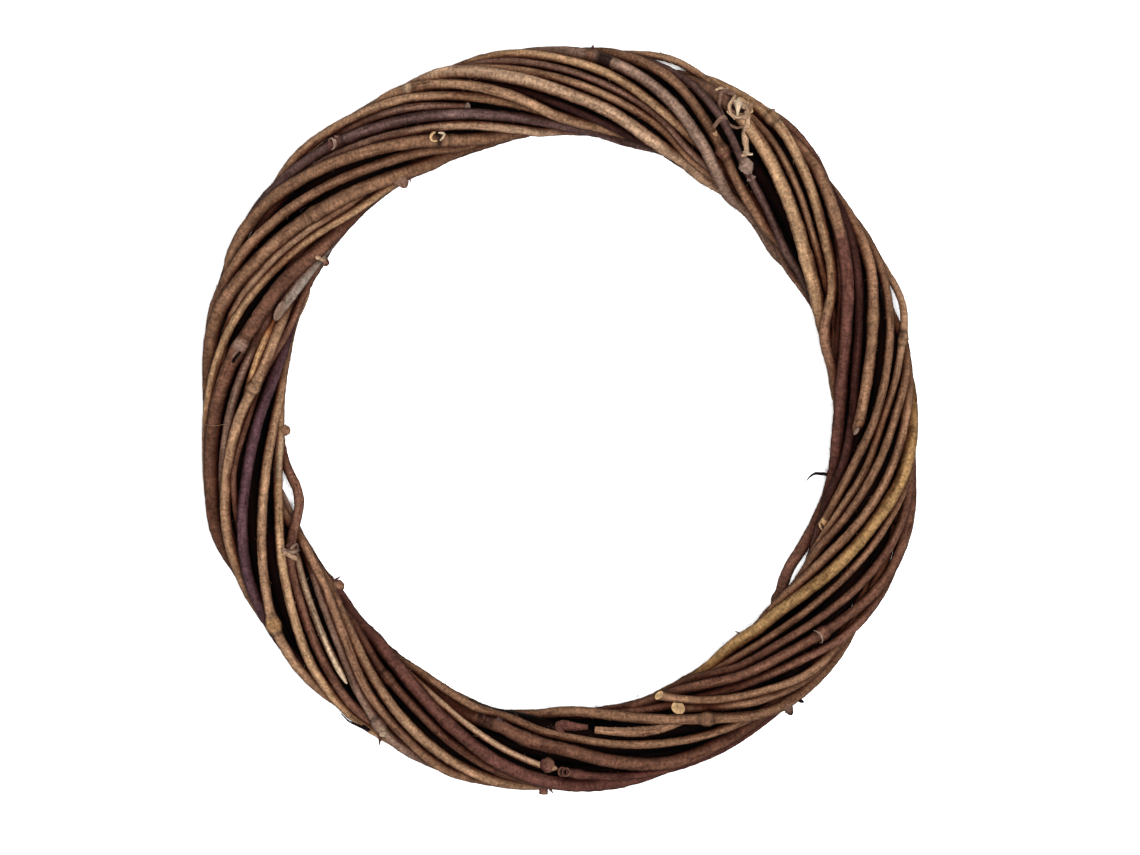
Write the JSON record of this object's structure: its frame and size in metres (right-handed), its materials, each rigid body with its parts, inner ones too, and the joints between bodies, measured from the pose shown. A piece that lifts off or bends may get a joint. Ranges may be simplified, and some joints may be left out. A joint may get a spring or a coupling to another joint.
{
  "type": "vine wreath",
  "caption": "Bare wreath of dry smilax vines twisted as a rope and bent to a round ring, with loose loops, swollen nodes, stub twigs, curled tendrils and pale cut ends.",
  "frame": {"origin": "middle of the ring on the surface it lies on", "axes": "+Z is the ring's axis, pointing up from the surface; +Y is the side shown at the top of the picture; +X is the side shown at its right"},
  "size_m": [0.2504, 0.2618, 0.0358],
  "materials": {
    "core_01": "dark dry bark, matte",
    "core_02": "dark dry bark, matte",
    "middle_01": "dark dry bark, soft sheen",
    "middle_02": "purple brown bark, smooth",
    "middle_03": "dark dry bark, soft sheen",
    "middle_04": "dark dry bark, matte",
    "twig_01": "pale dry bark, matte",
    "twig_02": "pale dry bark, matte",
    "twig_03": "purple brown bark, smooth",
    "twig_04": "dark dry bark, soft sheen",
    "vine_01": "pale dry bark, matte",
    "vine_02": "dry golden tan bark, matte",
    "vine_03": "dry brown bark, soft sheen",
    "vine_04": "purple brown bark, smooth",
    "vine_05": "dry tan bark, matte",
    "vine_06": "dry tan bark, matte",
    "vine_07": "dry brown bark, soft sheen",
    "vine_08": "dry golden tan bark, matte",
    "vine_09": "dry golden tan bark, matte",
    "vine_10": "dry tan bark, matte",
    "vine_11": "dry brown bark, soft sheen",
    "vine_12": "dry tan bark, matte",
    "vine_13": "dry tan bark, matte",
    "vine_14": "dark dry bark, soft sheen",
    "vine_15": "dry tan bark, matte",
    "vine_16": "dry brown bark, soft sheen",
    "vine_17": "pale dry bark, matte",
    "vine_18": "dry brown bark, soft sheen",
    "vine_19": "dry golden tan bark, matte"
  },
  "bodies": {
    "root": {"core_01": "core_01", "core_02": "core_02", "middle_01": "middle_01", "middle_02": "middle_02", "middle_03": "middle_03", "middle_04": "middle_04", "twig_01": "twig_01", "twig_02": "twig_02", "twig_03": "twig_03", "twig_04": "twig_04", "vine_01": "vine_01", "vine_02": "vine_02", "vine_03": "vine_03", "vine_04": "vine_04", "vine_05": "vine_05", "vine_06": "vine_06", "vine_07": "vine_07", "vine_08": "vine_08", "vine_09": "vine_09", "vine_10": "vine_10", "vine_11": "vine_11", "vine_12": "vine_12", "vine_13": "vine_13", "vine_14": "vine_14", "vine_15": "vine_15", "vine_16": "vine_16", "vine_17": "vine_17", "vine_18": "vine_18", "vine_19": "vine_19"}
  },
  "joints": []
}
